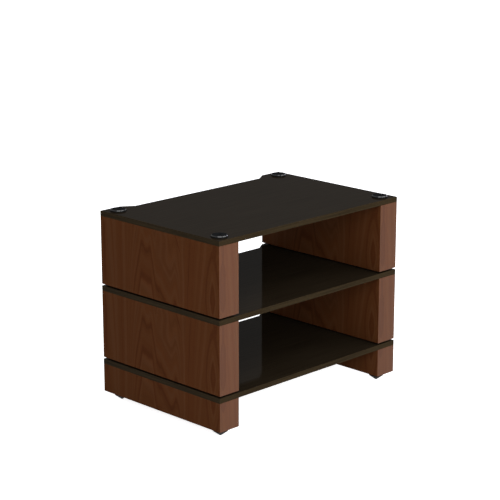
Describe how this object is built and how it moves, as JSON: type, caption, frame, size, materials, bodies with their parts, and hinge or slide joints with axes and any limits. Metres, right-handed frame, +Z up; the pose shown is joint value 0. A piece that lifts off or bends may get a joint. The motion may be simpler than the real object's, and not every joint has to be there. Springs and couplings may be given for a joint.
{
  "type": "audio equipment rack",
  "caption": "Stacking rack for audio equipment: dark satin shelves on thick walnut side panels, open front and back, spaced by gloss black discs and standing on black cone feet.",
  "frame": {"origin": "on the floor under the middle of the rack, at the level of the foot tips", "axes": "+X along the front to the right, seen from the front; +Y to the back; +Z up"},
  "size_m": [0.6, 0.4, 0.4709],
  "materials": {
    "walnut_veneer": "satin lacquered walnut, grain upright",
    "black_stained_board": "satin black brown stain, faint grain along the front",
    "gloss_black_resin": "gloss",
    "black_painted_steel": "semi-gloss",
    "zinc_plated_steel": "bright zinc plate",
    "turned_brass": "as turned"
  },
  "bodies": {
    "base_tier": {"base_shelf": "black_stained_board", "base_left_panel": "walnut_veneer", "base_right_panel": "walnut_veneer", "base_front_left_disc": "gloss_black_resin", "base_front_right_disc": "gloss_black_resin", "base_rear_left_disc": "gloss_black_resin", "base_rear_right_disc": "gloss_black_resin", "base_front_left_screw": "zinc_plated_steel", "base_front_right_screw": "zinc_plated_steel", "base_rear_left_screw": "zinc_plated_steel", "base_rear_right_screw": "zinc_plated_steel", "base_front_left_insert": "turned_brass", "base_front_right_insert": "turned_brass", "base_rear_left_insert": "turned_brass", "base_rear_right_insert": "turned_brass"},
    "middle_tier": {"middle_shelf": "black_stained_board", "middle_left_panel": "walnut_veneer", "middle_right_panel": "walnut_veneer", "middle_front_left_disc": "gloss_black_resin", "middle_front_right_disc": "gloss_black_resin", "middle_rear_left_disc": "gloss_black_resin", "middle_rear_right_disc": "gloss_black_resin", "middle_front_left_screw": "zinc_plated_steel", "middle_front_right_screw": "zinc_plated_steel", "middle_rear_left_screw": "zinc_plated_steel", "middle_rear_right_screw": "zinc_plated_steel", "middle_front_left_insert": "turned_brass", "middle_front_right_insert": "turned_brass", "middle_rear_left_insert": "turned_brass", "middle_rear_right_insert": "turned_brass", "middle_front_left_locating_stud": "zinc_plated_steel", "middle_front_right_locating_stud": "zinc_plated_steel", "middle_rear_left_locating_stud": "zinc_plated_steel", "middle_rear_right_locating_stud": "zinc_plated_steel"},
    "top_tier": {"top_shelf": "black_stained_board", "top_left_panel": "walnut_veneer", "top_right_panel": "walnut_veneer", "top_front_left_disc": "gloss_black_resin", "top_front_right_disc": "gloss_black_resin", "top_rear_left_disc": "gloss_black_resin", "top_rear_right_disc": "gloss_black_resin", "top_front_left_screw": "zinc_plated_steel", "top_front_right_screw": "zinc_plated_steel", "top_rear_left_screw": "zinc_plated_steel", "top_rear_right_screw": "zinc_plated_steel", "top_front_left_insert": "turned_brass", "top_front_right_insert": "turned_brass", "top_rear_left_insert": "turned_brass", "top_rear_right_insert": "turned_brass", "top_front_left_locating_stud": "zinc_plated_steel", "top_front_right_locating_stud": "zinc_plated_steel", "top_rear_left_locating_stud": "zinc_plated_steel", "top_rear_right_locating_stud": "zinc_plated_steel"},
    "front_left_foot": {"base_front_left_cone_foot": "black_painted_steel"},
    "front_right_foot": {"base_front_right_cone_foot": "black_painted_steel"},
    "rear_left_foot": {"base_rear_left_cone_foot": "black_painted_steel"},
    "rear_right_foot": {"base_rear_right_cone_foot": "black_painted_steel"}
  },
  "joints": [
    {"name": "middle_tier_lift", "type": "slide", "parent": "base_tier", "child": "middle_tier", "axis": [0, 0, 1], "range_m": [0, 0.15]},
    {"name": "top_tier_lift", "type": "slide", "parent": "middle_tier", "child": "top_tier", "axis": [0, 0, 1], "range_m": [0, 0.15]},
    {"name": "front_left_foot_screw", "type": "slide", "parent": "base_tier", "child": "front_left_foot", "axis": [0, 0, -1], "range_m": [0, 0.008]},
    {"name": "front_right_foot_screw", "type": "slide", "parent": "base_tier", "child": "front_right_foot", "axis": [0, 0, -1], "range_m": [0, 0.008]},
    {"name": "rear_left_foot_screw", "type": "slide", "parent": "base_tier", "child": "rear_left_foot", "axis": [0, 0, -1], "range_m": [0, 0.008]},
    {"name": "rear_right_foot_screw", "type": "slide", "parent": "base_tier", "child": "rear_right_foot", "axis": [0, 0, -1], "range_m": [0, 0.008]}
  ]
}
